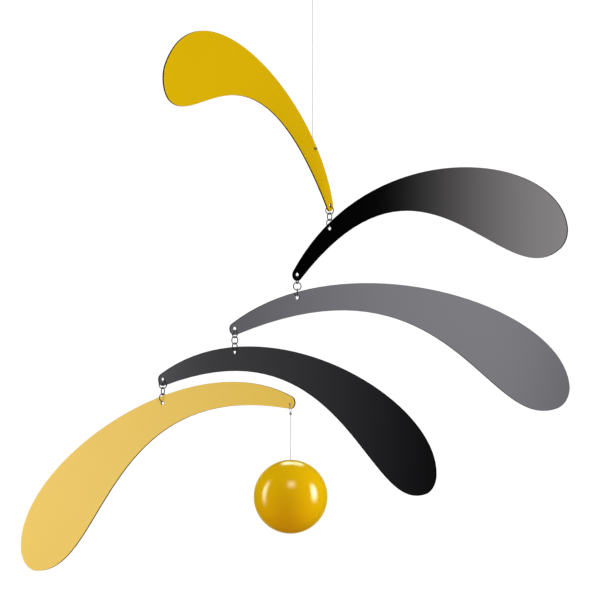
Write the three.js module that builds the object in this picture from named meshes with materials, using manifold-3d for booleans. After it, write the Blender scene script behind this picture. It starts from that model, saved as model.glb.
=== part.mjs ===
// Hanging mobile: five arched leaf-shaped sheet blades in a chain, and a ball on a thread.
// Units are millimetres and grams. +X is to the right, +Y away from the viewer and +Z up.
// The origin is the inside top of the loop that the whole mobile hangs by.

import * as THREE from "three";
import { mergeVertices } from "three/addons/utils/BufferGeometryUtils.js";
import Module from "manifold-3d";

const wasm = await Module();
wasm.setup();

// Sheet blades
const SHEET = 1.6; // thickness of the cut sheet
const BLADE_1_REACH = 342; // from the middle of the narrow end to the middle of the round lobe
const BLADE_2_REACH = 331;
const BLADE_3_REACH = 396;
const BLADE_4_REACH = 397;
const BLADE_5_REACH = 392;
const TIP_RADIUS = 6.2; // rounded narrow end, about its own hole
const RING_HOLE = 4.4; // diameter of a hole that takes a jump ring
const THREAD_HOLE = 2; // diameter of a hole that takes the thread
const THREAD_HOLE_DROP = 1.4; // how far the ball's thread hole sits under the middle of its tip

// Jump rings
const WIRE = 0.8; // diameter of the ring wire
const RING_BORE = 6.7; // inside diameter of a ring

// Thread, its loops and its knots
const THREAD = 0.5;
const LINE_DROP = 166; // from the inside top of the loop to the top hole of the first blade
const LOOP_HEIGHT = 9; // inside height of the loop, down to its knot
const LOOP_WIDTH = 5; // the loop across the middles of its strands
const KNOT_WIDTH = 2.4;
const KNOT_HEIGHT = 3;
const END_LENGTH = 4; // the lowest piece of the line, from the first hole up
const TIE_DROP = 9.5; // from the ball's thread hole to the middle of the knot under it

// Ball
const BALL_RADIUS = 36.1;
const SOCKET_DEPTH = 8; // drilled in the top of the ball for its thread
const BALL_DROP = 92; // from the middle of the last tip to the middle of the ball

// Room between pieces that touch
const GAP = 0.3;

// Weights in grams for each cubic millimetre, which decide where each blade has to be hung
const SHEET_DENSITY = 2.7e-3;
const BALL_DENSITY = 1.55e-4; // light wood or foam under the lacquer
const RING_DENSITY = 7.85e-3;

// Steps of the faceted curves
const EDGE_STEPS = 28;
const LOBE_STEPS = 14;
const TIP_STEPS = 12;
const HOLE_STEPS = 16;
const RING_STEPS = 20;
const WIRE_SIDES = 6;
const THREAD_SIDES = 8;
const BALL_STEPS = 36;
const SPHERE_STEPS = 18;
const LINE_STEPS = 24;
const BALL_THREAD_STEPS = 12;
const STRAND_STEPS = 24;

// Each blade is drawn from the centre of its narrow end. The round lobe lies "reach" away, and its
// radius "lobe" is a share of that reach. The edges leave the tip and meet the lobe at the named
// angles, in degrees. "topPull" and "underPull" are how far each edge runs on at the tip and at the
// lobe before it bends, as shares of the reach. "tilt" is how the blade lies when it hangs, "turn"
// its swing about the vertical and "side" where its lobe is. "inset" is how far the hanging hole
// sits inside the top edge, in widths of a ring hole. "rings" are the turns of the three rings
// under the blade.
const BLADES = [
  {
    name: "blade_1", finish: "yellow", side: -1, tilt: 20.4, turn: 62, reach: BLADE_1_REACH,
    lobe: 0.0716, tipTop: 141, tipUnder: 300, lobeTop: 16, lobeUnder: -87,
    topPull: [0.345, 0.333], underPull: [0.699, 0.187], inset: 1.06, rings: [-5, -55, 38],
  },
  {
    name: "blade_2", finish: "black", side: 1, tilt: 7.5, turn: -41, reach: BLADE_2_REACH,
    lobe: 0.068, tipTop: 137, tipUnder: 307, lobeTop: 3, lobeUnder: -62,
    topPull: [0.514, 0.233], underPull: [0.692, 0.263], inset: 1.01, rings: [72, 0, 90],
  },
  {
    name: "blade_3", finish: "black", side: 1, tilt: -8.9, turn: 34, reach: BLADE_3_REACH,
    lobe: 0.0568, tipTop: 132, tipUnder: 298, lobeTop: 18, lobeUnder: -65,
    topPull: [0.399, 0.217], underPull: [0.697, 0.23], inset: 1.25, rings: [-50, 40, -50],
  },
  {
    name: "blade_4", finish: "black", side: 1, tilt: -14.6, turn: 47, reach: BLADE_4_REACH,
    lobe: 0.0529, tipTop: 132, tipUnder: 299, lobeTop: 12, lobeUnder: -62,
    topPull: [0.423, 0.199], underPull: [0.688, 0.229], inset: 1.14, rings: [-15, -65, 31],
  },
  {
    name: "blade_5", finish: "yellow", side: -1, tilt: -22.5, turn: -45, reach: BLADE_5_REACH,
    lobe: 0.0587, tipTop: 134, tipUnder: 299, lobeTop: 16, lobeUnder: -68,
    topPull: [0.395, 0.219], underPull: [0.676, 0.253], inset: 1.5, rings: [],
  },
];

const FINISHES = {
  yellow: { color: 0xd9b000, roughness: 0.35, metalness: 0 },
  black: { color: 0x1d1d20, roughness: 0.35, metalness: 0 },
  ball: { color: 0xd8a80a, roughness: 0.12, metalness: 0 },
  steel: { color: 0xb4b6ba, roughness: 0.25, metalness: 1 },
  thread: { color: 0xd6d8da, roughness: 0.3, metalness: 0 },
};

const radians = THREE.MathUtils.degToRad;

function piece(name, geometry, finish) {
  const mesh = new THREE.Mesh(geometry, new THREE.MeshStandardMaterial(FINISHES[finish]));
  mesh.name = name;
  return mesh;
}

// Joins closed geometries into one solid
function join(...geometries) {
  const solids = geometries.map((source) => {
    const bare = new THREE.BufferGeometry();
    bare.setAttribute("position", source.getAttribute("position"));
    if (source.index) bare.setIndex(source.index);
    const merged = mergeVertices(bare);
    return new wasm.Manifold(new wasm.Mesh({
      numProp: 3,
      vertProperties: new Float32Array(merged.getAttribute("position").array),
      triVerts: new Uint32Array(merged.index.array),
    }));
  });
  const mesh = solids.reduce((all, solid) => all.add(solid)).getMesh();
  const joined = new THREE.BufferGeometry();
  joined.setAttribute("position", new THREE.BufferAttribute(mesh.vertProperties, 3));
  joined.setIndex(new THREE.BufferAttribute(mesh.triVerts, 1));
  joined.computeVertexNormals();
  return joined;
}

// A round solid bar along a curve
function bar(curve, diameter, steps) {
  const section = new THREE.Shape(
    new THREE.EllipseCurve(0, 0, diameter / 2, diameter / 2).getPoints(THREAD_SIDES).slice(1),
  );
  return new THREE.ExtrudeGeometry(section, { steps, extrudePath: curve, bevelEnabled: false });
}

function knot(x, y, z) {
  const form = new THREE.SphereGeometry(1, 12, 8);
  form.scale(KNOT_WIDTH / 2, KNOT_WIDTH / 2, KNOT_HEIGHT / 2);
  return form.translate(x, y, z);
}

// Blade outline

function onCircle(x, radius, degrees) {
  return new THREE.Vector2(radius, 0).rotateAround(new THREE.Vector2(), radians(degrees)).add({ x, y: 0 });
}

// The way an edge runs where it leaves a round end clockwise
function along(degrees, length) {
  return new THREE.Vector2(Math.sin(radians(degrees)), -Math.cos(radians(degrees))).multiplyScalar(length);
}

function topEdge(blade) {
  const start = onCircle(0, TIP_RADIUS, blade.tipTop);
  const end = onCircle(blade.reach, blade.lobe * blade.reach, blade.lobeTop);
  return new THREE.CubicBezierCurve(
    start,
    start.clone().add(along(blade.tipTop, blade.topPull[0] * blade.reach)),
    end.clone().sub(along(blade.lobeTop, blade.topPull[1] * blade.reach)),
    end,
  );
}

function underEdge(blade) {
  const start = onCircle(blade.reach, blade.lobe * blade.reach, blade.lobeUnder);
  const end = onCircle(0, TIP_RADIUS, blade.tipUnder);
  return new THREE.CubicBezierCurve(
    start,
    start.clone().add(along(blade.lobeUnder, blade.underPull[1] * blade.reach)),
    end.clone().sub(along(blade.tipUnder, blade.underPull[0] * blade.reach)),
    end,
  );
}

function arc(x, radius, from, to, steps, clockwise) {
  return new THREE.EllipseCurve(x, 0, radius, radius, radians(from), radians(to), clockwise).getPoints(steps);
}

// Points of the outline as the blade hangs, tilted, from the centre of its tip
function outline(blade) {
  const runs = [
    topEdge(blade).getPoints(EDGE_STEPS),
    arc(blade.reach, blade.lobe * blade.reach, blade.lobeTop, blade.lobeUnder, LOBE_STEPS, true),
    underEdge(blade).getPoints(EDGE_STEPS),
    arc(0, TIP_RADIUS, blade.tipUnder, blade.tipTop, TIP_STEPS, true),
  ];
  return runs.flatMap((run) => run.slice(1)).map((point) => tilted(blade, point));
}

function tilted(blade, point) {
  const turned = point.clone().rotateAround(new THREE.Vector2(), radians(blade.tilt));
  return turned.setX(turned.x * blade.side);
}

function centroidX(points) {
  let sum = 0;
  points.forEach((a, i) => {
    const b = points[(i + 1) % points.length];
    sum += (a.x + b.x) * (a.x * b.y - b.x * a.y);
  });
  return sum / (6 * THREE.ShapeUtils.area(points));
}

// The hanging hole sits inside the top edge, straight above the balance point of the blade and its
// load, so the blade hangs at its tilt
function hangingHole(blade, points, mass, load) {
  const balance = (centroidX(points) * mass) / (mass + load);
  const edge = topEdge(blade);
  const inside = (share) => {
    const run = edge.getTangent(share);
    const inward = new THREE.Vector2(run.y, -run.x).multiplyScalar(blade.inset * RING_HOLE);
    return tilted(blade, edge.getPoint(share).add(inward));
  };
  let low = 0;
  let high = 1;
  for (let halving = 0; halving < 30; halving += 1) {
    const middle = (low + high) / 2;
    if (Math.abs(inside(middle).x) < Math.abs(balance)) low = middle;
    else high = middle;
  }
  return inside(low);
}

// Sizes and weights from the ball upwards

const ringRadius = (RING_BORE + WIRE) / 2;
const ringMass = 2 * Math.PI * ringRadius * Math.PI * (WIRE / 2) ** 2 * RING_DENSITY;
const ballMass = (4 / 3) * Math.PI * BALL_RADIUS ** 3 * BALL_DENSITY;

let load = ballMass;
const forms = [...BLADES].reverse().map((blade) => {
  const points = outline(blade);
  const mass = Math.abs(THREE.ShapeUtils.area(points)) * SHEET * SHEET_DENSITY;
  const hang = hangingHole(blade, points, mass, load);
  load += mass + 3 * ringMass;
  return { blade, points, hang };
}).reverse();

// Pieces

// A hole in a blade, as a closed path of points
function hole(centre, diameter) {
  const circle = new THREE.EllipseCurve(centre.x, centre.y, diameter / 2, diameter / 2);
  return new THREE.Path(circle.getPoints(HOLE_STEPS).slice(1));
}

function bladePiece({ blade, points, hang }, hangHole, tipHole, tipDrop) {
  const shape = new THREE.Shape(points);
  shape.holes.push(hole(hang, hangHole), hole(new THREE.Vector2(0, -tipDrop), tipHole));
  const form = new THREE.ExtrudeGeometry(shape, { depth: SHEET, bevelEnabled: false });
  form.translate(-hang.x, -hang.y, -SHEET / 2).rotateX(Math.PI / 2);
  return piece(blade.name, form, blade.finish);
}

function ringPiece(name, x, y, z, turn) {
  const form = new THREE.TorusGeometry(ringRadius, WIRE / 2, WIRE_SIDES, RING_STEPS);
  const ring = piece(name, form.rotateX(Math.PI / 2), "steel");
  ring.position.set(x, y, z);
  ring.rotation.z = radians(turn);
  return ring;
}

// Height from the middle of a ring to the rim of the sheet that rests in it or that it rests on
function seat(ringTurn, sheetTurn) {
  const between = radians(ringTurn - sheetTurn);
  const halfWidth = (SHEET + WIRE * Math.abs(Math.cos(between))) / 2 / Math.abs(Math.sin(between));
  return Math.sqrt((RING_BORE / 2 - GAP) ** 2 - halfWidth ** 2);
}

// The three rings under a blade's tip hole, and the height of the hole that the last one holds
function connector(group, number, tip, blade, below) {
  const ringDrop = RING_BORE - GAP;
  const top = tip.z - RING_HOLE / 2 - seat(blade.rings[0], blade.turn);
  ["upper", "middle", "lower"].forEach((place, i) => {
    const name = `ring_${number}_${place}`;
    group.add(ringPiece(name, tip.x, tip.y, top - i * ringDrop, blade.rings[i]));
  });
  return top - 2 * ringDrop - seat(blade.rings[2], below.turn) - RING_HOLE / 2;
}

function ballPiece() {
  const socketRadius = THREAD / 2 + GAP;
  const rim = Math.PI / 2 - Math.asin(socketRadius / BALL_RADIUS);
  const circle = new THREE.EllipseCurve(0, 0, BALL_RADIUS, BALL_RADIUS, -Math.PI / 2, rim);
  const skin = circle.getPoints(SPHERE_STEPS);
  skin[0].x = 0;
  const floor = BALL_RADIUS - SOCKET_DEPTH;
  const profile = [...skin, new THREE.Vector2(socketRadius, floor), new THREE.Vector2(0, floor)];
  return piece("ball", new THREE.LatheGeometry(profile, BALL_STEPS).rotateX(Math.PI / 2), "ball");
}

// The loop at the very top, with its knot, inside top at the origin
function hangingLoop() {
  const half = LOOP_WIDTH / 2;
  const bottom = -LOOP_HEIGHT - KNOT_HEIGHT / 2;
  const strand = new THREE.CatmullRomCurve3([
    new THREE.Vector3(0, 0, bottom),
    new THREE.Vector3(-half * 0.6, 0, -LOOP_HEIGHT * 0.7),
    new THREE.Vector3(-half, 0, -LOOP_HEIGHT * 0.3),
    new THREE.Vector3(0, 0, THREAD / 2),
    new THREE.Vector3(half, 0, -LOOP_HEIGHT * 0.3),
    new THREE.Vector3(half * 0.6, 0, -LOOP_HEIGHT * 0.7),
    new THREE.Vector3(0, 0, bottom),
  ]);
  return piece("hanging_loop", join(bar(strand, THREAD, STRAND_STEPS), knot(0, 0, bottom)), "thread");
}

// The end of the line: down behind the blade, forward through its hole and into a stopper knot.
// Local -Y is the way the blade faces.
function lineEnd() {
  const back = THREAD / 2 + GAP;
  const front = back + SHEET + GAP;
  const strand = new THREE.CatmullRomCurve3([
    new THREE.Vector3(0, 0, END_LENGTH),
    new THREE.Vector3(0, 0, END_LENGTH / 2),
    new THREE.Vector3(0, 0, THREAD * 2),
    new THREE.Vector3(0, -back * 0.3, THREAD * 0.5),
    new THREE.Vector3(0, -back, 0),
    new THREE.Vector3(0, -front - KNOT_WIDTH / 2, 0),
  ]);
  const stop = knot(0, 0, 0).rotateX(Math.PI / 2).translate(0, -front - KNOT_HEIGHT / 2, 0);
  return piece("line_knot", join(bar(strand, THREAD, STRAND_STEPS), stop), "thread");
}

// The tie of the ball's thread: through the hole, down both faces and into a knot under the edge
function threadTie() {
  const face = SHEET / 2 + GAP + THREAD / 2;
  const edge = THREAD_HOLE_DROP - TIP_RADIUS;
  const half = [
    new THREE.Vector3(0, face, edge),
    new THREE.Vector3(0, face, -THREAD_HOLE),
    new THREE.Vector3(0, face * 0.75, -THREAD / 2),
  ];
  const other = half.map((point) => point.clone().setY(-point.y)).reverse();
  const tied = new THREE.Vector3(0, 0, -TIE_DROP);
  const top = new THREE.Vector3(0, 0, THREAD * 0.3);
  const strand = new THREE.CatmullRomCurve3([tied, ...half, top, ...other, tied.clone()]);
  return piece("thread_tie", join(bar(strand, THREAD, STRAND_STEPS), knot(0, 0, -TIE_DROP)), "thread");
}

function straightThread(name, from, to, steps) {
  const start = new THREE.Vector3(0, 0, from);
  return piece(name, bar(new THREE.LineCurve3(start, new THREE.Vector3(0, 0, to)), THREAD, steps), "thread");
}

// The whole mobile, built downwards from the loop

const mobile = new THREE.Group();
const lineTop = -LOOP_HEIGHT - KNOT_HEIGHT - GAP;
mobile.add(hangingLoop());
mobile.add(straightThread("hanging_line", lineTop, -LINE_DROP + END_LENGTH + GAP, LINE_STEPS));

// The line runs down just behind the first blade
const behind = SHEET / 2 + GAP + THREAD / 2;
const firstTurn = radians(BLADES[0].turn);
const anchor = new THREE.Vector3(Math.sin(firstTurn) * behind, -Math.cos(firstTurn) * behind, -LINE_DROP);

const knotGroup = new THREE.Group();
knotGroup.position.z = -LINE_DROP;
knotGroup.rotation.z = firstTurn;
knotGroup.add(lineEnd());
mobile.add(knotGroup);

forms.forEach((form, i) => {
  const { blade, hang } = form;
  const below = BLADES[i + 1];
  const carrier = new THREE.Group();
  carrier.position.copy(anchor);
  carrier.rotation.z = radians(blade.turn);
  const hangHole = i === 0 ? THREAD_HOLE : RING_HOLE;
  carrier.add(bladePiece(form, hangHole, below ? RING_HOLE : THREAD_HOLE, below ? 0 : THREAD_HOLE_DROP));
  mobile.add(carrier);

  const upwards = new THREE.Vector3(0, 0, 1);
  const tip = new THREE.Vector3(-hang.x, 0, -hang.y).applyAxisAngle(upwards, radians(blade.turn)).add(anchor);
  if (below) {
    anchor.set(tip.x, tip.y, connector(mobile, i + 1, tip, blade, below));
  } else {
    anchor.copy(tip);
  }
});

// The ball and its thread hang from the last tip
const lastTurn = radians(BLADES[BLADES.length - 1].turn);
const tie = new THREE.Group();
tie.position.set(anchor.x, anchor.y, anchor.z - THREAD_HOLE_DROP);
tie.rotation.z = lastTurn;
tie.add(threadTie());

const ball = new THREE.Group();
ball.position.set(anchor.x, anchor.y, anchor.z - BALL_DROP);
const threadTop = BALL_DROP - THREAD_HOLE_DROP - TIE_DROP - KNOT_HEIGHT / 2 - GAP;
const threadEnd = BALL_RADIUS - SOCKET_DEPTH + GAP;
ball.add(ballPiece(), straightThread("ball_thread", threadTop, threadEnd, BALL_THREAD_STEPS));
mobile.add(tie, ball);

export default mobile;
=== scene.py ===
"""Dresses a hanging mobile: lacquered sheet blades, jump rings, knotted threads and a ball.

Lengths are in metres and angles in degrees, +X to the right, +Y away from the viewer and +Z up.
"""

import math

import bmesh
import bpy
from mathutils import Matrix, Vector


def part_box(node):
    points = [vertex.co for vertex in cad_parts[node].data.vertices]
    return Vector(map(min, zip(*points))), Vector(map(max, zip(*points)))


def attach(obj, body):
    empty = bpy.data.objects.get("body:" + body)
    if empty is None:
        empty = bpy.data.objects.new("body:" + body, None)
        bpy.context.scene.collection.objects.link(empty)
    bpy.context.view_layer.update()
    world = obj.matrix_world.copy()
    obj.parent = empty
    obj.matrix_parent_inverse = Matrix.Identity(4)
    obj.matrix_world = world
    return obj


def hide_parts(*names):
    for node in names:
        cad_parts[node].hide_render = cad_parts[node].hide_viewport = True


bl_info = {
    "name": "Hanging Mobile",
    "version": (1, 0, 0),
    "blender": (4, 5, 0),
    "location": "3D View > Sidebar > Mobile",
    "description": "Leaf blades, jump rings, threads and ball of a hanging mobile",
    "category": "Object",
}

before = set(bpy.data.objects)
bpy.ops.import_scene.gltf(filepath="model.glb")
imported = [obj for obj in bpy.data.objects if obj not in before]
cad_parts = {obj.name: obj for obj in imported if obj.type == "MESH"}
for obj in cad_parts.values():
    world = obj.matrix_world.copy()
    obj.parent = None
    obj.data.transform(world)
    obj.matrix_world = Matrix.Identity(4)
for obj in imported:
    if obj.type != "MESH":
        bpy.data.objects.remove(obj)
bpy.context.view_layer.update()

MM = 0.001
GAP = 0.3 * MM  # room that the frame keeps between touching pieces

# Blade pattern, as in the frame: the round lobe lies "reach" from the middle of the narrow end, and
# "lobe", "top_pull" and "under_pull" are shares of that reach. Angles say where each edge leaves
# the tip and meets the lobe. "tilt" and "turn" are how the blade hangs, "side" where its lobe is.
TIP_RADIUS = 6.2 * MM
BLADES = {
    "blade_1": dict(
        slot="yellow_lacquer", side=-1, tilt=20.4, turn=62, reach=342 * MM, lobe=0.0716,
        tip_top=141, tip_under=300, lobe_top=16, lobe_under=-87,
        top_pull=(0.345, 0.333), under_pull=(0.699, 0.187),
    ),
    "blade_2": dict(
        slot="black_lacquer", side=1, tilt=7.5, turn=-41, reach=331 * MM, lobe=0.068,
        tip_top=137, tip_under=307, lobe_top=3, lobe_under=-62,
        top_pull=(0.514, 0.233), under_pull=(0.692, 0.263),
    ),
    "blade_3": dict(
        slot="black_lacquer", side=1, tilt=-8.9, turn=34, reach=396 * MM, lobe=0.0568,
        tip_top=132, tip_under=298, lobe_top=18, lobe_under=-65,
        top_pull=(0.399, 0.217), under_pull=(0.697, 0.23),
    ),
    "blade_4": dict(
        slot="black_lacquer", side=1, tilt=-14.6, turn=47, reach=397 * MM, lobe=0.0529,
        tip_top=132, tip_under=299, lobe_top=12, lobe_under=-62,
        top_pull=(0.423, 0.199), under_pull=(0.688, 0.229),
    ),
    "blade_5": dict(
        slot="yellow_lacquer", side=-1, tilt=-22.5, turn=-45, reach=392 * MM, lobe=0.0587,
        tip_top=134, tip_under=299, lobe_top=16, lobe_under=-68,
        top_pull=(0.395, 0.219), under_pull=(0.676, 0.253),
    ),
}

# Turns of the upper, middle and lower ring under each blade
RING_TURNS = {1: (-5, -55, 38), 2: (72, 0, 90), 3: (-50, 40, -50), 4: (-15, -65, 31)}
PLACES = ("upper", "middle", "lower")

# Threads, knots, loop and ball's socket, as in the frame
LINE_DROP = 166 * MM
END_LENGTH = 4 * MM
LOOP_HEIGHT = 9 * MM
LOOP_WIDTH = 5 * MM
KNOT_WIDTH = 2.4 * MM
KNOT_HEIGHT = 3 * MM
TIE_DROP = 9.5 * MM
THREAD_HOLE = 2 * MM
THREAD_HOLE_DROP = 1.4 * MM
SOCKET_DEPTH = 8 * MM

# Knots, seams and rims that only this scene has
KNOT_TURNS = 5
KNOT_ENDS = 0.72  # width of a knot's ends, as a share of its middle
SEAM_FIRST, SEAM_BY_PLACE, SEAM_BY_CONNECTOR = 40, 25, 15  # degrees round a ring to its seam
SOCKET_LIP = 0.25 * MM  # rounding of the drilled hole's rim in the ball

# How finely the meshes are cut
CURVE_STEPS = 40
EDGE_STEPS = 2
ARC_LIMIT = 45  # widest stretch of a round end drawn by one curve segment
RING_STEPS = 72
WIRE_STEPS = 16
BALL_STEPS = 128
LIP_ANGLES = (30, 60, 90)
TURN_STEPS = 16  # points in one turn of a knot
DROP_STEPS = 14  # stretches in a straight thread
FLAT_FACE = 0.9  # a sheet's face is flat where its normal agrees more than this
SHARP_WIRE, SHARP_BALL = 60, 50  # angles past which an edge is drawn sharp
SLIM = 1e-6  # points nearer than this are one


class MobileSizes(bpy.types.PropertyGroup):
    """Sizes that a user would change"""

    sheet: bpy.props.FloatProperty(
        name="Sheet", description="Thickness of the blades", default=1.6 * MM,
        subtype="DISTANCE")
    edge_round: bpy.props.FloatProperty(
        name="Edge Round", description="Rounding of the blades' cut edges", default=0.18 * MM,
        subtype="DISTANCE")
    ring_hole: bpy.props.FloatProperty(
        name="Ring Hole", description="Diameter of a hole that takes a ring", default=4.4 * MM,
        subtype="DISTANCE")
    ring_bore: bpy.props.FloatProperty(
        name="Ring Bore", description="Inside diameter of a jump ring", default=6.7 * MM,
        subtype="DISTANCE")
    wire: bpy.props.FloatProperty(
        name="Wire", description="Diameter of the ring wire", default=1 * MM,
        subtype="DISTANCE")
    seam: bpy.props.FloatProperty(
        name="Seam", description="Width of the cut where a ring was closed", default=0.12 * MM,
        subtype="DISTANCE")
    thread: bpy.props.FloatProperty(
        name="Thread", description="Diameter of the clear thread", default=0.5 * MM,
        subtype="DISTANCE")
    ball_radius: bpy.props.FloatProperty(
        name="Ball Radius", description="Radius of the ball", default=36.1 * MM,
        subtype="DISTANCE")


class MobileColours(bpy.types.PropertyGroup):
    """Colours and gloss that a user would change"""

    yellow: bpy.props.FloatVectorProperty(
        name="Yellow", description="Lacquer of the first and last blade",
        default=(0.8, 0.498, 0.0004), subtype="COLOR", min=0, max=1)
    black: bpy.props.FloatVectorProperty(
        name="Black", description="Lacquer of the other blades", default=(0.0005, 0.0005, 0.0007),
        subtype="COLOR", min=0, max=1)
    core: bpy.props.FloatVectorProperty(
        name="Core", description="Dark core that shows along the cut edges",
        default=(0.012, 0.008, 0.005), subtype="COLOR", min=0, max=1)
    ball: bpy.props.FloatVectorProperty(
        name="Ball", description="Lacquer of the ball", default=(0.8, 0.372, 0.0002),
        subtype="COLOR", min=0, max=1)
    steel: bpy.props.FloatVectorProperty(
        name="Steel", description="Metal of the rings", default=(0.42, 0.405, 0.385),
        subtype="COLOR", min=0, max=1)
    thread: bpy.props.FloatVectorProperty(
        name="Thread", description="Tint of the clear thread", default=(0.32, 0.325, 0.33),
        subtype="COLOR", min=0, max=1)
    satin: bpy.props.FloatProperty(
        name="Satin", description="Roughness of the blades' lacquer", default=0.1, min=0, max=1)
    gloss: bpy.props.FloatProperty(
        name="Gloss", description="Roughness of the ball's clear coat", default=0.08, min=0, max=1)


class MobileStudio(bpy.types.PropertyGroup):
    """Camera and light"""

    distance: bpy.props.FloatProperty(
        name="Distance", description="From the camera to the hanging line", default=8.0,
        subtype="DISTANCE")
    field: bpy.props.FloatProperty(
        name="Field", description="Width and height of the view at the hanging line", default=0.6,
        subtype="DISTANCE")
    sideways: bpy.props.FloatProperty(
        name="Sideways", description="Camera's place along X", default=-0.01265,
        subtype="DISTANCE")
    height: bpy.props.FloatProperty(
        name="Height", description="Camera's place along Z", default=-0.3174,
        subtype="DISTANCE")
    ambient: bpy.props.FloatProperty(
        name="Ambient", description="Even light from all around on matt colour", default=0.52,
        min=0)
    floor: bpy.props.FloatProperty(
        name="Floor", description="Height of the floor", default=-1.5,
        subtype="DISTANCE")


# Small helpers


def own(kind):
    """One of the property groups of the scene"""
    return getattr(bpy.context.scene, kind)


def middle(node):
    """Middle of a frame node's box"""
    low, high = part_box(node)
    return (low + high) / 2


def new_object(name, data, material=None):
    """Puts data into the scene as an object at the origin"""
    piece = bpy.data.objects.new(name, data)
    bpy.context.scene.collection.objects.link(piece)
    if material:
        data.materials.append(material)
    return piece


def as_mesh(piece):
    """Turns a curve or a modified mesh into a plain mesh of the same name"""
    bpy.context.view_layer.update()
    result = piece.evaluated_get(bpy.context.evaluated_depsgraph_get())
    mesh = bpy.data.meshes.new_from_object(result)
    mesh.transform(piece.matrix_world)
    name, old = piece.name, piece.data
    bpy.data.objects.remove(piece)
    (bpy.data.curves if isinstance(old, bpy.types.Curve) else bpy.data.meshes).remove(old)
    mesh.name = name
    return new_object(name, mesh)


def edit(mesh, change):
    """Runs one change on a mesh's bmesh"""
    work = bmesh.new()
    work.from_mesh(mesh)
    change(work)
    work.to_mesh(mesh)
    work.free()
    mesh.update()


def close_up(work):
    """Merges doubles and points every face outwards"""
    bmesh.ops.remove_doubles(work, verts=work.verts, dist=SLIM)
    bmesh.ops.recalc_face_normals(work, faces=work.faces)


# Materials

NOISE_LOW, NOISE_HIGH = 0.3, 0.7  # where nearly all of a noise's values lie
BLACK_GLOSS = 0.75  # roughness of the black lacquer, as a share of the yellow's


def shader(name, **values):
    """A material with a Principled shader, whose plain sockets are set by name"""
    material = bpy.data.materials.new(name)
    material.use_nodes = True
    nodes, links = material.node_tree.nodes, material.node_tree.links
    principled = nodes["Principled BSDF"]
    for socket, value in values.items():
        principled.inputs[socket.replace("_", " ")].default_value = value
    return material, nodes, links, principled


def coordinates(nodes, links):
    """Object coordinates through a Mapping node"""
    source = nodes.new("ShaderNodeTexCoord")
    mapping = nodes.new("ShaderNodeMapping")
    links.new(source.outputs["Object"], mapping.inputs["Vector"])
    return mapping.outputs["Vector"]


def noise(nodes, links, vector, scale, detail=2.0, rough=0.5):
    """A noise's value at a vector"""
    texture = nodes.new("ShaderNodeTexNoise")
    texture.inputs["Scale"].default_value = scale
    texture.inputs["Detail"].default_value = detail
    texture.inputs["Roughness"].default_value = rough
    links.new(vector, texture.inputs["Vector"])
    return texture.outputs["Fac"]


def spread(nodes, links, value, low, high):
    """Maps the range of a noise to low to high"""
    ranged = nodes.new("ShaderNodeMapRange")
    set_range(ranged, (NOISE_LOW, NOISE_HIGH), (low, high))
    links.new(value, ranged.inputs["Value"])
    return ranged.outputs["Result"]


def set_range(node, source, result):
    """Sets a Map Range node to turn one pair of numbers into another"""
    for side, pair in (("From", source), ("To", result)):
        for end, number in zip(("Min", "Max"), pair):
            node.inputs[f"{side} {end}"].default_value = number


def tinted(nodes, links, factor, colour, other):
    """Mixes two near colours by a factor"""
    mix = nodes.new("ShaderNodeMix")
    mix.data_type = "RGBA"
    mix.inputs["A"].default_value = (*colour, 1)
    mix.inputs["B"].default_value = (*other, 1)
    links.new(factor, mix.inputs["Factor"])
    return mix.outputs["Result"]


def bump(nodes, links, height, principled, strength, distance):
    """Fine relief on a shader's normal"""
    relief = nodes.new("ShaderNodeBump")
    relief.inputs["Strength"].default_value = strength
    relief.inputs["Distance"].default_value = distance
    links.new(height, relief.inputs["Height"])
    links.new(relief.outputs["Normal"], principled.inputs["Normal"])


def lacquer(name, colour, rough, peel_scale, peel, **values):
    """Sprayed lacquer: a hardly uneven colour and gloss, and a fine orange peel"""
    material, nodes, links, principled = shader(name, Roughness=rough, **values)
    vector = coordinates(nodes, links)
    cloud = noise(nodes, links, vector, scale=14, detail=3)
    deeper = [share * 0.93 for share in colour]
    links.new(tinted(nodes, links, cloud, colour, deeper), principled.inputs["Base Color"])
    film = spread(nodes, links, noise(nodes, links, vector, scale=60), rough * 0.94, rough * 1.06)
    links.new(film, principled.inputs["Roughness"])
    orange_peel = noise(nodes, links, vector, scale=peel_scale)
    bump(nodes, links, orange_peel, principled, strength=peel, distance=0.02 * MM)
    return material


def cut_edge(name, colour):
    """Cut edge of the sheet: dull and dark, with fine lines along the sheet"""
    material, nodes, links, principled = shader(name, Roughness=0.6, Specular_IOR_Level=0.2)
    vector = coordinates(nodes, links)
    grain = noise(nodes, links, vector, scale=900, detail=3, rough=0.6)
    paler = [share * 1.8 for share in colour]
    links.new(tinted(nodes, links, grain, colour, paler), principled.inputs["Base Color"])
    bump(nodes, links, grain, principled, strength=0.4, distance=0.05 * MM)
    return material


def drawn_steel(name, colour):
    """Bright drawn wire"""
    material, nodes, links, principled = shader(name, Metallic=1.0, Roughness=0.17)
    vector = coordinates(nodes, links)
    marks = noise(nodes, links, vector, scale=1500, detail=4, rough=0.7)
    duller = [share * 0.82 for share in colour]
    links.new(tinted(nodes, links, marks, colour, duller), principled.inputs["Base Color"])
    links.new(spread(nodes, links, marks, 0.12, 0.22), principled.inputs["Roughness"])
    bump(nodes, links, marks, principled, strength=0.2, distance=0.01 * MM)
    return material


def clear_thread(name, colour):
    """Clear nylon thread, slightly milky"""
    material, nodes, links, principled = shader(
        name, Roughness=0.28, IOR=1.5, Transmission_Weight=0.3)
    vector = coordinates(nodes, links)
    cloud = noise(nodes, links, vector, scale=700)
    milky = [share * 0.9 for share in colour]
    links.new(tinted(nodes, links, cloud, colour, milky), principled.inputs["Base Color"])
    return material


FINISHES = {}


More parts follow.
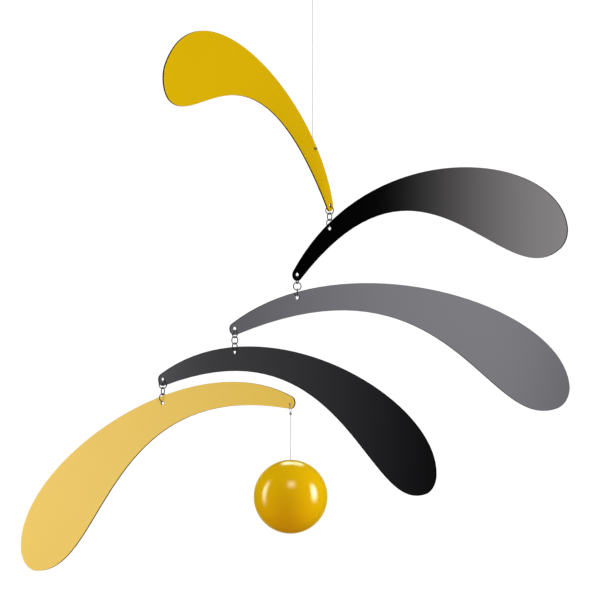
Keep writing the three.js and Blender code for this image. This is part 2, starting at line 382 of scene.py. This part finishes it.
def finish(name):
    """The material for a finish, made once"""
    if name not in FINISHES:
        colours = own("mobile_colours")
        make = {
            "yellow_lacquer": lambda: lacquer(
                name, colours.yellow, rough=colours.satin, peel_scale=420, peel=0.05),
            "black_lacquer": lambda: lacquer(
                name, colours.black, rough=colours.satin * BLACK_GLOSS, peel_scale=420, peel=0.05),
            "core": lambda: cut_edge(name, colours.core),
            "ball": lambda: lacquer(
                name, colours.ball, rough=0.3, peel_scale=260, peel=0.06, Specular_IOR_Level=0.0,
                Coat_Weight=1.0, Coat_IOR=1.75, Coat_Roughness=colours.gloss),
            "ring_steel": lambda: drawn_steel(name, colours.steel),
            "thread": lambda: clear_thread(name, colours.thread),
        }
        FINISHES[name] = make[name]()
    return FINISHES[name]


# Threads


def thread_curve(name, runs, section_steps, run_steps):
    """A smooth thread along each run of points, as one curve"""
    curve = bpy.data.curves.new(name, "CURVE")
    curve.dimensions = "3D"
    curve.bevel_depth = own("mobile_sizes").thread / 2
    curve.bevel_resolution = section_steps
    curve.use_fill_caps = True
    curve.resolution_u = run_steps
    for points in runs:
        spline = curve.splines.new("BEZIER")
        spline.bezier_points.add(len(points) - 1)
        for knot, point in zip(spline.bezier_points, points):
            knot.co = point
            knot.handle_left_type = knot.handle_right_type = "AUTO"
    return new_object(name, curve, finish("thread"))


def straight_run(x, y, start, stop):
    """Points of an upright thread from one height to another"""
    return [Vector((x, y, start + (stop - start) * i / DROP_STEPS)) for i in range(DROP_STEPS + 1)]


def winding(place):
    """Points of a knot's coil about local Z, its ends drawn in to the middle"""
    thread = own("mobile_sizes").thread
    count = KNOT_TURNS * TURN_STEPS
    radius = (KNOT_WIDTH - thread) / 2
    points = []
    for step in range(count + 1):
        share = step / count
        angle = math.tau * KNOT_TURNS * share
        swell = radius * (KNOT_ENDS + (1 - KNOT_ENDS) * math.sin(math.pi * share))
        rise = (share - 0.5) * (KNOT_HEIGHT - thread)
        points.append(place @ Vector((swell * math.cos(angle), swell * math.sin(angle), rise)))
    return points


def blade_way(turn):
    """Local axes of a blade: along the sheet, out of its rear face and up"""
    return Matrix.Rotation(math.radians(turn), 4, "Z")


def beside_sheet():
    """From the middle of a blade to the middle of a thread that runs beside it"""
    sizes = own("mobile_sizes")
    return sizes.sheet / 2 + GAP + sizes.thread / 2


def through_first_blade():
    """Local axes where the line meets the first blade, and how far the sheet and knot stand off"""
    sizes = own("mobile_sizes")
    turned = Matrix.Translation((0, 0, -LINE_DROP)) @ blade_way(BLADES["blade_1"]["turn"])
    back = sizes.thread / 2 + GAP
    front = back + sizes.sheet + GAP
    return turned, back, front


class MOBILE_OT_threads(bpy.types.Operator):
    """Hang the line and the ball's thread, both taut and clear"""

    bl_idname = "mobile.threads"
    bl_label = "Threads"

    def execute(self, context):
        # Down from the loop's knot, behind the first blade and forward through its hole
        thread = own("mobile_sizes").thread
        turned, back, front = through_first_blade()
        end = [
            turned @ Vector(local)
            for local in (
                (0, -front - KNOT_HEIGHT / 2, 0),
                (0, -back, 0),
                (0, -back * 0.3, thread * 0.5),
                (0, 0, thread * 2),
                (0, 0, END_LENGTH / 2),
                (0, 0, END_LENGTH),
            )
        ]
        straight = straight_run(0, 0, -LINE_DROP + END_LENGTH, -LOOP_HEIGHT - KNOT_HEIGHT / 2)
        line = self.taut("clear_hanging_line", end + straight[1:])
        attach(line, "blade_1")
        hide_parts("hanging_line")

        # From the knot under the last blade into the ball
        axis = middle("ball_thread")
        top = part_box("ball_thread")[1].z + GAP + KNOT_HEIGHT / 2
        drop = straight_run(axis.x, axis.y, top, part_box("ball_thread")[0].z)
        ball_line = self.taut("clear_ball_thread", drop)
        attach(ball_line, "blade_5")
        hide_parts("ball_thread")
        return {"FINISHED"}

    def taut(self, name, points):
        """A thread that stays a curve of one open spline"""
        return thread_curve(name, [points], section_steps=4, run_steps=8)


class MOBILE_OT_knots(bpy.types.Operator):
    bl_idname = "mobile.knots"
    bl_label = "Knots"

    def execute(self, context):
        thread = own("mobile_sizes").thread
        half, knot_z = LOOP_WIDTH / 2, -LOOP_HEIGHT - KNOT_HEIGHT / 2
        strand = [
            Vector((x * half, 0, z))
            for x, z in (
                (0.05, knot_z),
                (-0.6, -LOOP_HEIGHT * 0.7),
                (-1, -LOOP_HEIGHT * 0.3),
                (0, thread / 2),
                (1, -LOOP_HEIGHT * 0.3),
                (0.6, -LOOP_HEIGHT * 0.7),
                (-0.05, knot_z),
            )
        ]
        coil = winding(Matrix.Translation((0, 0, knot_z)))
        loop = self.tied("tied_loop", [strand, coil], "loop", "hanging_loop")

        turned, _, front = through_first_blade()
        outwards = Matrix.Translation((0, -front - KNOT_HEIGHT / 2, 0))
        coil = winding(turned @ outwards @ Matrix.Rotation(math.pi / 2, 4, "X"))
        stopper = self.tied("stopper_knot", [coil], "blade_1", "line_knot")

        # Over the edge of the last blade, through its hole and back on the other side
        axis = middle("ball_thread")
        hole_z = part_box("thread_tie")[0].z + KNOT_HEIGHT / 2 + TIE_DROP
        tie = Matrix.Translation((axis.x, axis.y, hole_z)) @ blade_way(BLADES["blade_5"]["turn"])
        face = beside_sheet()
        edge = THREAD_HOLE_DROP - TIP_RADIUS
        side = [(face, edge), (face, -THREAD_HOLE), (face * 0.75, -thread / 2)]
        path = [(0, -TIE_DROP), *side, (0, thread * 0.3)]
        path += [(-y, z) for y, z in reversed(side)] + [(0, -TIE_DROP)]
        around = [tie @ Vector((0, y, z)) for y, z in path]
        coil = winding(tie @ Matrix.Translation((0, 0, -TIE_DROP)))
        tied = self.tied("tie_of_ball_thread", [around, coil], "blade_5", "thread_tie")

        return {"FINISHED"}

    def tied(self, name, runs, body, node):
        """Joins runs of thread into one piece that stands for a node"""
        piece = as_mesh(thread_curve(name, runs, section_steps=3, run_steps=4))
        piece.data.shade_smooth()
        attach(piece, body)
        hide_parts(node)
        return piece

    def length(self, line):
        """Length along a thread's points"""
        points = [knot.co for knot in line.data.splines[0].bezier_points]
        return sum((b - a).length for a, b in zip(points, points[1:]))


# Blades


def on_circle(x, radius, degrees):
    """Point on a circle whose middle lies on the sheet's long axis"""
    angle = math.radians(degrees)
    return Vector((x + radius * math.cos(angle), radius * math.sin(angle)))


def along(degrees, length):
    """The way an edge runs where it leaves a round end clockwise"""
    angle = math.radians(degrees)
    return Vector((math.sin(angle), -math.cos(angle))) * length


def arc_knots(x, radius, start, stop):
    """Curve knots of a clockwise arc, ends left out, with the pull at the ends"""
    pieces = math.ceil((start - stop) / ARC_LIMIT)
    step = (start - stop) / pieces
    pull = radius * 4 / 3 * math.tan(math.radians(step) / 4)
    inner = []
    for i in range(1, pieces):
        angle = start - step * i
        point, run = on_circle(x, radius, angle), along(angle, pull)
        inner.append((point - run, point, point + run))
    return inner, pull


def pattern(blade):
    """The blade's outline about the middle of its tip, each knot with its two handles"""
    reach = blade["reach"]
    lobe = blade["lobe"] * reach
    lobe_arc, lobe_pull = arc_knots(reach, lobe, blade["lobe_top"], blade["lobe_under"])
    tip_arc, tip_pull = arc_knots(0, TIP_RADIUS, blade["tip_under"], blade["tip_top"])
    corners = []
    for x, radius, angle, before, after in (
        (0, TIP_RADIUS, blade["tip_top"], tip_pull, blade["top_pull"][0] * reach),
        (reach, lobe, blade["lobe_top"], blade["top_pull"][1] * reach, lobe_pull),
        (reach, lobe, blade["lobe_under"], lobe_pull, blade["under_pull"][1] * reach),
        (0, TIP_RADIUS, blade["tip_under"], blade["under_pull"][0] * reach, tip_pull),
    ):
        point = on_circle(x, radius, angle)
        corners.append((point - along(angle, before), point, point + along(angle, after)))
    tip_top, lobe_top, lobe_under, tip_under = corners
    knots = [tip_top, lobe_top, *lobe_arc, lobe_under, tip_under, *tip_arc]
    tilt = Matrix.Rotation(math.radians(blade["tilt"]), 2)
    return [[mirrored(tilt @ point, blade["side"]) for point in knot] for knot in knots]


def mirrored(point, side):
    """A point of the pattern, on the side where the lobe is"""
    return Vector((point.x * side, point.y, 0))


def circle_knots(centre, radius):
    """Curve knots of a hole"""
    pull = radius * 4 / 3 * math.tan(math.radians(90) / 4)
    knots = []
    for angle in (0, -90, -180, -270):
        point = centre + on_circle(0, radius, angle).to_3d()
        run = along(angle, pull).to_3d()
        knots.append((point - run, point, point + run))
    return knots


def seat(ring_turn, sheet_turn):
    """Height from the middle of a ring to the rim of the hole that hangs on it"""
    sizes = own("mobile_sizes")
    between = math.radians(ring_turn - sheet_turn)
    half_width = (sizes.sheet + sizes.wire * abs(math.cos(between))) / 2 / abs(math.sin(between))
    return math.sqrt((sizes.ring_bore / 2 - GAP) ** 2 - half_width**2)


class MOBILE_OT_blades(bpy.types.Operator):
    """Cut the five blades from sheet, with rounded edges and drilled holes"""

    bl_idname = "mobile.blades"
    bl_label = "Blades"

    def execute(self, context):
        for number, name in enumerate(BLADES, start=1):
            self.cut(number, name)
        return {"FINISHED"}

    def cut(self, number, name):
        """Cuts one blade and stands it in its place"""
        sizes = own("mobile_sizes")
        blade = BLADES[name]
        outline = pattern(blade)
        last = number == len(BLADES)
        tip = middle("ball_thread") if last else middle(f"ring_{number}_upper")
        if last:
            tip.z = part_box("thread_tie")[0].z + KNOT_HEIGHT / 2 + TIE_DROP + THREAD_HOLE_DROP
        else:
            tip.z += seat(RING_TURNS[number][0], blade["turn"]) + sizes.ring_hole / 2
        hang = self.hanging_place(number, blade)
        way = blade_way(blade["turn"])
        inwards = way.inverted() @ (hang - tip)
        hole_below = Vector((0, -THREAD_HOLE_DROP, 0)) if last else Vector((0, 0, 0))
        holes = [
            (Vector((inwards.x, inwards.z, 0)), THREAD_HOLE if number == 1 else sizes.ring_hole),
            (hole_below, THREAD_HOLE if last else sizes.ring_hole),
        ]
        curve = bpy.data.curves.new(name, "CURVE")
        curve.dimensions = "2D"
        curve.fill_mode = "BOTH"
        curve.resolution_u = CURVE_STEPS
        curve.bevel_depth = sizes.edge_round
        curve.bevel_resolution = EDGE_STEPS
        curve.offset = -sizes.edge_round
        curve.extrude = sizes.sheet / 2 - sizes.edge_round
        for knots in (outline, *(circle_knots(centre, width / 2) for centre, width in holes)):
            spline = curve.splines.new("BEZIER")
            spline.use_cyclic_u = True
            spline.bezier_points.add(len(knots) - 1)
            for bezier, (left, point, right) in zip(spline.bezier_points, knots):
                bezier.handle_left_type = bezier.handle_right_type = "FREE"
                bezier.handle_left, bezier.co, bezier.handle_right = left, point, right
        piece = as_mesh(new_object(f"sheet_{name}", curve, finish(blade["slot"])))
        # Flat in X and Y so far: X runs along the sheet, Y up and Z out of the front face
        stand = Matrix.Translation(tip) @ way @ Matrix.Rotation(math.pi / 2, 4, "X")
        piece.data.transform(stand)
        edit(piece.data, close_up)
        self.finish_faces(piece, way @ Vector((0, 1, 0)))
        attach(piece, name)
        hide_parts(name)

    def hanging_place(self, number, blade):
        """Middle of the blade's hanging hole"""
        if number == 1:
            out = blade_way(blade["turn"]) @ Vector((0, -beside_sheet(), 0))
            return out + Vector((0, 0, -LINE_DROP))
        ring = middle(f"ring_{number - 1}_lower")
        hole = own("mobile_sizes").ring_hole
        drop = seat(RING_TURNS[number - 1][2], blade["turn"]) + hole / 2
        return ring - Vector((0, 0, drop))

    def finish_faces(self, piece, out):
        """Lacquer on the two flat faces and the core's colour along the cut edges"""
        piece.data.materials.append(finish("core"))
        for face in piece.data.polygons:
            flat = abs(face.normal.dot(out)) > FLAT_FACE
            face.material_index = 0 if flat else 1
            face.use_smooth = not flat


# Rings


def ring_tree(material):
    """Node tree that puts a jump ring at each point, turned by its "hang" attribute"""
    tree = bpy.data.node_groups.new("Jump Rings", "GeometryNodeTree")
    face = tree.interface
    face.new_socket("Geometry", in_out="INPUT", socket_type="NodeSocketGeometry")
    for name in ("Ring Radius", "Wire Radius", "Open Angle"):
        face.new_socket(name, in_out="INPUT", socket_type="NodeSocketFloat")
    face.new_socket("Geometry", in_out="OUTPUT", socket_type="NodeSocketGeometry")
    nodes, links = tree.nodes, tree.links
    inputs, result = nodes.new("NodeGroupInput"), nodes.new("NodeGroupOutput")

    arc = nodes.new("GeometryNodeCurveArc")
    arc.inputs["Resolution"].default_value = RING_STEPS
    sweep = nodes.new("ShaderNodeMath")
    sweep.operation = "SUBTRACT"
    sweep.inputs[0].default_value = math.tau
    links.new(inputs.outputs["Open Angle"], sweep.inputs[1])
    links.new(inputs.outputs["Ring Radius"], arc.inputs["Radius"])
    links.new(sweep.outputs["Value"], arc.inputs["Sweep Angle"])
    section = nodes.new("GeometryNodeCurvePrimitiveCircle")
    section.inputs["Resolution"].default_value = WIRE_STEPS
    links.new(inputs.outputs["Wire Radius"], section.inputs["Radius"])
    body = nodes.new("GeometryNodeCurveToMesh")
    body.inputs["Fill Caps"].default_value = True
    links.new(arc.outputs["Curve"], body.inputs["Curve"])
    links.new(section.outputs["Curve"], body.inputs["Profile Curve"])

    hang = nodes.new("GeometryNodeInputNamedAttribute")
    hang.data_type = "FLOAT_VECTOR"
    hang.inputs["Name"].default_value = "hang"
    placed = nodes.new("GeometryNodeInstanceOnPoints")
    links.new(inputs.outputs["Geometry"], placed.inputs["Points"])
    links.new(body.outputs["Mesh"], placed.inputs["Instance"])
    links.new(hang.outputs["Attribute"], placed.inputs["Rotation"])
    real = nodes.new("GeometryNodeRealizeInstances")
    links.new(placed.outputs["Instances"], real.inputs["Geometry"])
    paint = nodes.new("GeometryNodeSetMaterial")
    paint.inputs["Material"].default_value = material
    links.new(real.outputs["Geometry"], paint.inputs["Geometry"])
    links.new(paint.outputs["Geometry"], result.inputs["Geometry"])
    return tree


class MOBILE_OT_rings(bpy.types.Operator):
    """Link the blades with jump rings, three to a connector"""

    bl_idname = "mobile.rings"
    bl_label = "Jump Rings"

    def execute(self, context):
        tree = ring_tree(finish("ring_steel"))
        for number in range(1, len(BLADES) + 1):
            carried = [(number, place) for place in PLACES[:2] if number in RING_TURNS]
            if number > 1:
                carried.insert(0, (number - 1, PLACES[2]))
            self.string(tree, f"blade_{number}", carried)
        return {"FINISHED"}

    def string(self, tree, body, carried):
        """The rings that move with one blade"""
        sizes = own("mobile_sizes")
        nodes = [f"ring_{connector}_{place}" for connector, place in carried]
        mesh = bpy.data.meshes.new("points")
        mesh.from_pydata([middle(node) for node in nodes], [], [])
        hang = mesh.attributes.new("hang", "FLOAT_VECTOR", "POINT")
        for i, (connector, place) in enumerate(carried):
            turn = RING_TURNS[connector][PLACES.index(place)]
            seam = SEAM_FIRST + SEAM_BY_PLACE * PLACES.index(place) + SEAM_BY_CONNECTOR * connector
            upright = Matrix.Rotation(math.pi / 2, 3, "X")
            turned = Matrix.Rotation(math.radians(turn), 3, "Z") @ upright
            hang.data[i].vector = (turned @ Matrix.Rotation(math.radians(seam), 3, "Z")).to_euler()
        piece = new_object(f"jump_rings_{body}", mesh)
        modifier = piece.modifiers.new("Jump Rings", "NODES")
        modifier.node_group = tree
        radius = (sizes.ring_bore + sizes.wire) / 2
        for name, value in (
            ("Ring Radius", radius),
            ("Wire Radius", sizes.wire / 2),
            ("Open Angle", sizes.seam / radius),
        ):
            modifier[tree.interface.items_tree[name].identifier] = value
        piece = as_mesh(piece)
        edit(piece.data, close_up)
        piece.data.shade_smooth()
        piece.data.set_sharp_from_angle(angle=math.radians(SHARP_WIRE))
        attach(piece, body)
        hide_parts(*nodes)


# Ball


class MOBILE_OT_ball(bpy.types.Operator):
    """Turn the ball, drilled at the top for its thread"""

    bl_idname = "mobile.ball"
    bl_label = "Ball"

    def execute(self, context):
        sizes = own("mobile_sizes")
        radius = sizes.ball_radius
        hole = sizes.thread / 2 + GAP
        rim = math.asin((hole + SOCKET_LIP) / radius)
        profile = [(0, -radius)]
        steps = BALL_STEPS // 2
        for i in range(1, steps + 1):
            angle = math.pi - (math.pi - rim) * i / steps
            profile.append((radius * math.sin(angle), radius * math.cos(angle)))
        edge_z = radius * math.cos(rim)
        for degrees in LIP_ANGLES:
            angle = math.radians(degrees)
            inwards, down = 1 - math.sin(angle), 1 - math.cos(angle)
            profile.append((hole + SOCKET_LIP * inwards, edge_z - SOCKET_LIP * down))
        profile += [(hole, radius - SOCKET_DEPTH), (0, radius - SOCKET_DEPTH)]
        mesh = bpy.data.meshes.new("glossy_ball")
        work = bmesh.new()
        verts = [work.verts.new((x, 0, z)) for x, z in profile]
        edges = [work.edges.new(pair) for pair in zip(verts, verts[1:])]
        bmesh.ops.spin(
            work, geom=verts + edges, cent=(0, 0, 0), axis=(0, 0, 1), angle=math.tau,
            steps=BALL_STEPS, use_merge=True, use_duplicate=False)
        close_up(work)
        work.to_mesh(mesh)
        work.free()
        mesh.transform(Matrix.Translation(middle("ball")))
        piece = new_object("glossy_ball", mesh, finish("ball"))
        mesh.shade_smooth()
        mesh.set_sharp_from_angle(angle=math.radians(SHARP_BALL))
        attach(piece, "ball")
        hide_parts("ball")
        return {"FINISHED"}


# Stage

SHEETS = tuple(f"sheet_{name}" for name in BLADES)
RINGS = tuple(f"jump_rings_{name}" for name in BLADES)
THREADS = (
    "clear_hanging_line", "clear_ball_thread", "tied_loop", "stopper_knot", "tie_of_ball_thread")
FIRST, SECOND, THIRD, FOURTH, FIFTH = SHEETS

WHITE, COOL, WARM = (1, 1, 1), (0.98, 0.97, 1.06), (1.04, 0.99, 1.0)
LEMON, ORANGE = (0.5, 2.6, 0.4), (1, 0.6, 0.4)

# Shares of its size over which a lamp fades from its left, right, lower and upper side
TO_THE_MIDDLE = (0.5, 0.5, 0.5, 0.5)
AT_THE_RIM = (0.3, 0.3, 0.3, 0.3)

# Each looks straight along X, and stands again on the other side of the hanging line
SHEET_LAMPS = (
    dict(
        name="right", lit=(FIRST, THIRD, FOURTH, *THREADS), place=(1.2, -0.435, -0.3),
        size=(1.03, 1.4), radiance=3.9, fades=(0.68, 0.27, 0.5, 0.5), tint=COOL),
    dict(
        name="right_spill", lit=(THIRD, FOURTH), place=(1.25, -0.1, -0.3),
        size=(1.0, 1.4), radiance=0.9, fades=(0.4, 0.4, 0.4, 0.4), tint=COOL),
    dict(
        name="left", lit=(SECOND, *THREADS), place=(-1.0, -0.512, -0.15),
        size=(0.675, 1.1), radiance=5.2, fades=(0.36, 0.3, 0.4, 0.4), tint=WARM),
    dict(
        name="left_far", lit=(FIFTH,), place=(-1.05, 0.1, -0.5),
        size=(1.3, 1.2), radiance=2.8, fades=TO_THE_MIDDLE, tint=WHITE),
)

BALL = ("glossy_ball",)
BALL_MIDDLE = middle("ball")
FRONT_LAMP_RISE = math.radians(40)
FRONT_LAMP_WAY = Vector((0.04, -math.cos(FRONT_LAMP_RISE), math.sin(FRONT_LAMP_RISE)))
FRONT_LAMP_AWAY = 1.2
BALL_LAMPS = (
    dict(
        name="right_softbox_ball", place=(1.15, -0.415, -0.26), target=(0, -0.424, -0.26),
        size=(0.8, 1.33), radiance=10.5, fades=TO_THE_MIDDLE, tint=(1, 1.12, 0.9)),
    dict(
        name="left_softbox_ball", place=(-0.95, -0.2, -0.29), target=(0, -0.2, -0.29),
        size=(0.5, 1.33), radiance=6.0, fades=TO_THE_MIDDLE, tint=(1, 1, 0.75)),
    dict(
        name="back_glow_ball", place=BALL_MIDDLE + Vector((0, 3.2, 0)), target=BALL_MIDDLE,
        size=(5, 5), radiance=0.5, fades=AT_THE_RIM, tint=(1, 0.95, 0.3)),
    dict(
        name="top_softbox_ball", place=(0.05, 0.98, 0.7), target=(0.05, 0.98, 0),
        size=(1.1, 1.3), radiance=3.5, fades=AT_THE_RIM, tint=(1, 1.25, 1.0)),
    dict(
        name="front_lamp_ball", target=BALL_MIDDLE,
        place=BALL_MIDDLE + FRONT_LAMP_WAY * FRONT_LAMP_AWAY,
        size=(0.82, 0.82), radiance=4.0, fades=TO_THE_MIDDLE, tint=(1, 0.92, 0.75)),
)

# Large lamps that reach matt colour and leave no reflection
FILLS = (
    dict(name="front_fill", lit=SHEETS + THREADS, place=(0.6, -3, 0.6), radiance=6.2, tint=WHITE),
    dict(name="back_fill", lit=SHEETS + THREADS, place=(-0.6, 3, 0.6), radiance=6.2, tint=WHITE),
    dict(name="front_fill_ball", lit=BALL, place=(0.4, -3.1, -0.4), radiance=0.9, tint=ORANGE),
    dict(name="under_fill_ball", lit=BALL, place=(0.0, -0.6, -3.2), radiance=2.4, tint=ORANGE),
    dict(name="right_fill_ball", lit=BALL, place=(3.0, -1.2, 0.6), radiance=2.6, tint=LEMON),
    dict(name="left_fill_ball", lit=BALL, place=(-2.8, -0.9, 1.0), radiance=2.2, tint=LEMON),
)
FILL_SIZE = (3, 3)
FILL_TARGET = (0, 0, -0.4)

# Small lamps that only the rings see, and the way to each
SPARKLES = {"right": (1, 0.1, 0.6), "left": (-1, -0.1, 0.4)}
SPARKLE_TARGET = Vector((-0.05, 0, -0.3))
SPARKLE_AWAY = 1.4
SPARKLE_SIZE = (0.25, 0.25)
SPARKLE_RADIANCE = 7.0

# The white surround and the floor
SURROUND_SEEN = 1.05
SURROUND_IN_GLOSS = 0.008
FLOOR_RADIUS = 10
FLOOR_COLOUR, FLOOR_GRAIN = (0.8, 0.8, 0.79), (0.77, 0.77, 0.76)
FLOOR_GLOW = 0.55


def softbox(name, lit, place, target, size, radiance, fades, tint=WHITE):
    """A lamp that lights only some pieces, and fades towards its sides"""
    lamp = bpy.data.lights.new(name, "AREA")
    lamp.shape = "RECTANGLE"
    lamp.size, lamp.size_y = size
    lamp.energy = radiance * size[0] * size[1] * math.pi
    lamp.color = tint
    fade(lamp, fades)
    light = new_object(name, lamp)
    light.location = place
    light.rotation_euler = (Vector(target) - Vector(place)).to_track_quat("-Z", "Y").to_euler()
    light.visible_camera = False
    receivers = bpy.data.collections.new(f"lit_by_{name}")
    for piece in lit:
        receivers.objects.link(bpy.data.objects[piece])
    light.light_linking.receiver_collection = receivers
    return light


def fade(lamp, shares):
    """Fades a lamp from its left, right, lower and upper side over shares of its size"""
    lamp.use_nodes = True
    nodes, links = lamp.node_tree.nodes, lamp.node_tree.links
    split = nodes.new("ShaderNodeSeparateXYZ")
    links.new(nodes.new("ShaderNodeNewGeometry").outputs["Parametric"], split.inputs["Vector"])
    strength = nodes["Emission"].inputs["Strength"]
    falls = []
    for axis, far, share in zip("XXYY", (0, 1, 0, 1), shares):
        fall = nodes.new("ShaderNodeMapRange")
        fall.interpolation_type = "SMOOTHSTEP"
        near = share if far == 0 else 1 - share
        set_range(fall, (far, near), (0, 1))
        links.new(split.outputs[axis], fall.inputs["Value"])
        falls.append(fall.outputs["Result"])
    bright = falls[0]
    for fall in falls[1:]:
        both = nodes.new("ShaderNodeMath")
        both.operation = "MULTIPLY"
        links.new(bright, both.inputs[0])
        links.new(fall, both.inputs[1])
        bright = both.outputs["Value"]
    links.new(bright, strength)


class MOBILE_OT_camera(bpy.types.Operator):
    """Place the camera far in front, at the height of the middle blades"""

    bl_idname = "mobile.camera"
    bl_label = "Camera"

    def execute(self, context):
        studio = own("mobile_studio")
        camera = bpy.data.cameras.new("camera")
        camera.sensor_fit = "HORIZONTAL"
        camera.lens = camera.sensor_width * studio.distance / studio.field
        camera.clip_end = 100
        view = new_object("camera", camera)
        view.location = (studio.sideways, -studio.distance, studio.height)
        view.rotation_euler = (math.pi / 2, 0, 0)
        context.scene.camera = view
        return {"FINISHED"}


class MOBILE_OT_stage(bpy.types.Operator):
    """Put up the softboxes, a white surround and a pale floor"""

    bl_idname = "mobile.stage"
    bl_label = "Stage"

    def execute(self, context):
        self.surround(context.scene)
        self.lamps()
        self.lay_floor()
        return {"FINISHED"}

    def surround(self, scene):
        """White where the camera looks past the object, soft on matt colour, dim in reflections"""
        world = bpy.data.worlds.new("surround")
        world.use_nodes = True
        world.cycles.sampling_method = "NONE"
        nodes, links = world.node_tree.nodes, world.node_tree.links
        path = nodes.new("ShaderNodeLightPath")
        strength = None
        for ray, level in (
            ("Is Camera Ray", SURROUND_SEEN),
            ("Is Transmission Ray", SURROUND_SEEN),
            ("Is Diffuse Ray", own("mobile_studio").ambient),
            ("Is Glossy Ray", SURROUND_IN_GLOSS),
        ):
            add = nodes.new("ShaderNodeMath")
            add.operation = "MULTIPLY_ADD"
            add.inputs[1].default_value = level
            add.inputs[2].default_value = 0
            links.new(path.outputs[ray], add.inputs[0])
            if strength:
                links.new(strength, add.inputs[2])
            strength = add.outputs["Value"]
        links.new(strength, nodes["Background"].inputs["Strength"])
        nodes["Background"].inputs["Color"].default_value = (1, 1, 1, 1)
        scene.world = world
        scene.view_settings.view_transform = "Standard"

    def lamps(self):
        """Lamps for the sheets and threads, for the ball and for the rings"""
        for lamp in SHEET_LAMPS:
            name, (x, y, z) = lamp["name"], lamp["place"]
            front = dict(name=f"{name}_softbox", place=(x, y, z), target=(0, y, z))
            behind = dict(name=f"{name}_softbox_behind", place=(-x, -y, z), target=(0, -y, z))
            softbox(**(lamp | front))
            softbox(**(lamp | behind))
        for lamp in BALL_LAMPS:
            softbox(lit=BALL, **lamp)
        for lamp in FILLS:
            fill = softbox(target=FILL_TARGET, size=FILL_SIZE, fades=TO_THE_MIDDLE, **lamp)
            fill.visible_glossy = False
        for name, way in SPARKLES.items():
            place = SPARKLE_TARGET + Vector(way).normalized() * SPARKLE_AWAY
            softbox(
                f"{name}_sparkle", RINGS, place, SPARKLE_TARGET, SPARKLE_SIZE, SPARKLE_RADIANCE,
                AT_THE_RIM)

    def lay_floor(self):
        """A pale floor that neither shades nor mirrors in the object"""
        mesh = bpy.data.meshes.new("floor")
        edit(mesh, lambda work: bmesh.ops.create_circle(
            work, cap_ends=True, segments=64, radius=FLOOR_RADIUS))
        mesh.transform(Matrix.Translation((0, 0, own("mobile_studio").floor)))
        material, nodes, links, principled = shader(
            "pale_floor", Roughness=0.7, Emission_Color=(1, 1, 1, 1), Emission_Strength=FLOOR_GLOW)
        grain = noise(nodes, links, coordinates(nodes, links), scale=40, detail=3)
        colour = tinted(nodes, links, grain, FLOOR_COLOUR, FLOOR_GRAIN)
        links.new(colour, principled.inputs["Base Color"])
        floor = new_object("floor", mesh, material)
        floor.visible_diffuse = False
        floor.visible_glossy = False


class MOBILE_PT_panel(bpy.types.Panel):
    """Lists the steps that make the mobile"""

    bl_idname = "MOBILE_PT_panel"
    bl_label = "Hanging Mobile"
    bl_space_type = "VIEW_3D"
    bl_region_type = "UI"
    bl_category = "Mobile"

    def draw(self, context):
        for kind in GROUPS:
            group = own(kind)
            box = self.layout.box()
            for name in group.__annotations__:
                box.prop(group, name)
        for step in STEPS:
            self.layout.operator(step.bl_idname)


STEPS = (
    MOBILE_OT_camera,
    MOBILE_OT_threads,
    MOBILE_OT_knots,
    MOBILE_OT_blades,
    MOBILE_OT_rings,
    MOBILE_OT_ball,
    MOBILE_OT_stage,
)
GROUPS = {
    "mobile_sizes": MobileSizes,
    "mobile_colours": MobileColours,
    "mobile_studio": MobileStudio,
}


def register():
    for kind in (*GROUPS.values(), *STEPS, MOBILE_PT_panel):
        bpy.utils.register_class(kind)
    for name, kind in GROUPS.items():
        setattr(bpy.types.Scene, name, bpy.props.PointerProperty(type=kind))


def unregister():
    for name in GROUPS:
        delattr(bpy.types.Scene, name)
    for kind in (MOBILE_PT_panel, *reversed(STEPS), *reversed(GROUPS.values())):
        bpy.utils.unregister_class(kind)


def main():
    """Runs every step in order"""
    register()
    for step in STEPS:
        group, name = step.bl_idname.split(".")
        getattr(getattr(bpy.ops, group), name)()


if __name__ == "__main__":
    main()
